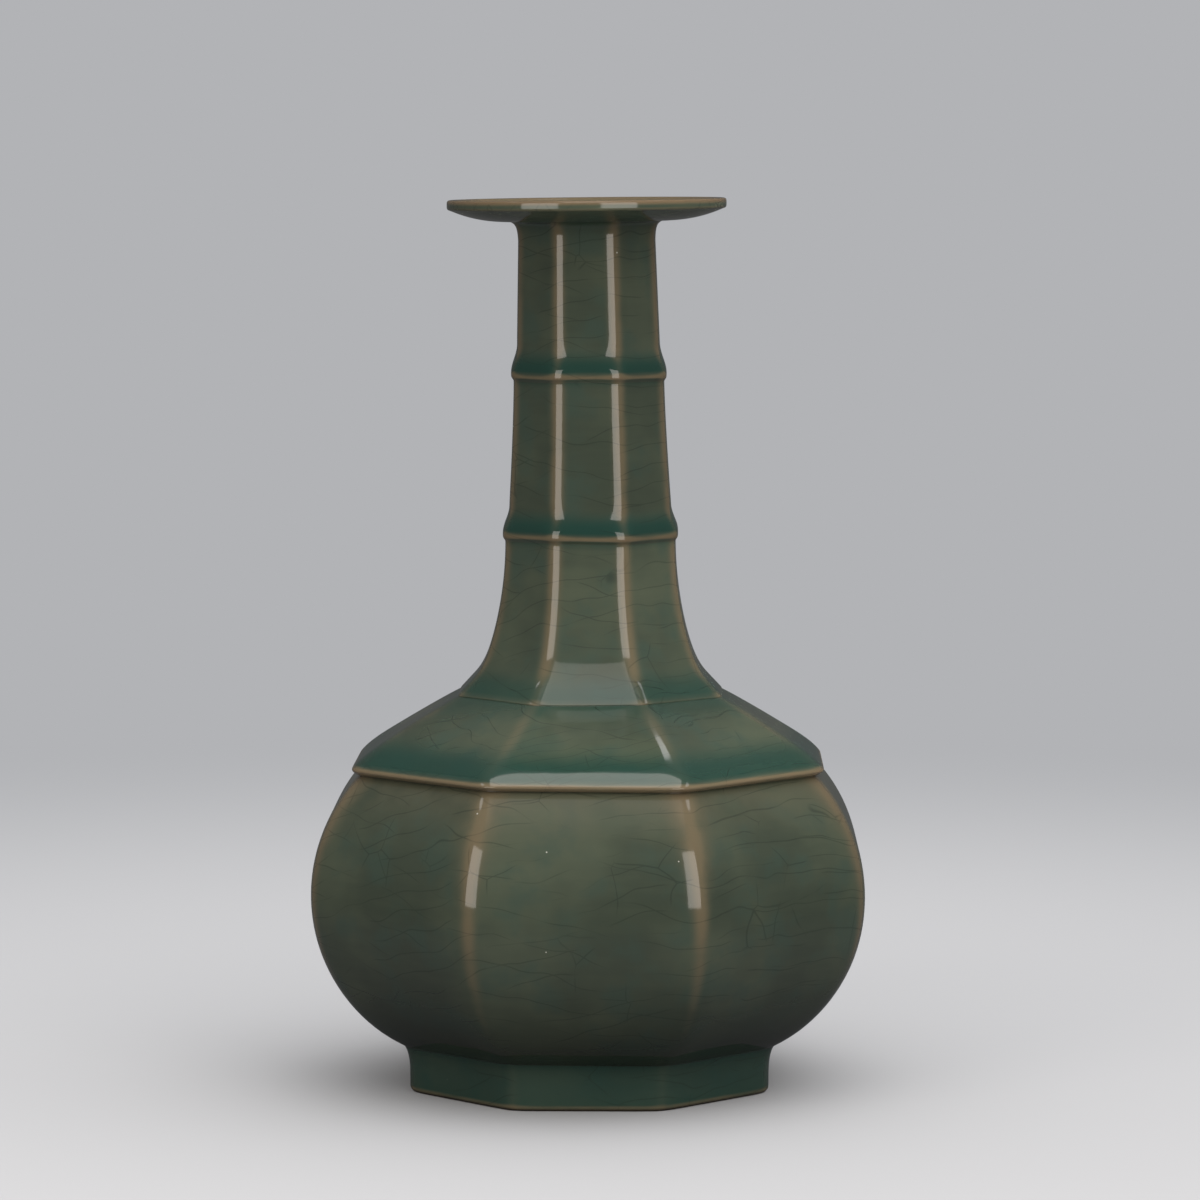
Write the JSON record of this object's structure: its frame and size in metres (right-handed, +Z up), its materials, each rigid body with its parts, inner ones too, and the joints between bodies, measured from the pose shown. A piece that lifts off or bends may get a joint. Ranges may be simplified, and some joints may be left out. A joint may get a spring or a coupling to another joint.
{
  "type": "bamboo-joint vase",
  "caption": "Octagonal celadon vase with a wide round mouth plate, a tall ridged neck like a bamboo stem, a sloping shoulder, a full belly and a low foot ring.",
  "frame": {"origin": "middle of the foot ring's resting face, on the vase's axis", "axes": "+Z up along the vase's axis, -Y out of the flat side that faces the viewer"},
  "size_m": [0.1544, 0.1544, 0.25],
  "materials": {
    "foot_glaze": "glossy celadon glaze, bare brown clay on the resting edge",
    "base_glaze": "glossy celadon glaze",
    "belly_glaze": "glossy crackled celadon glaze, thin and brown on the edges",
    "shoulder_glaze": "glossy crackled celadon glaze, pooled above the ridge",
    "neck_glaze": "glossy crackled celadon glaze, thin and brown on the edges",
    "mouth_glaze": "glossy celadon glaze, thin and brown on the lip"
  },
  "bodies": {
    "root": {"foot_ring": "foot_glaze", "base_slab": "base_glaze", "belly_lower": "belly_glaze", "belly_upper": "belly_glaze", "shoulder": "shoulder_glaze", "neck_lower": "neck_glaze", "neck_middle": "neck_glaze", "neck_upper": "neck_glaze", "mouth_plate": "mouth_glaze"}
  },
  "joints": []
}
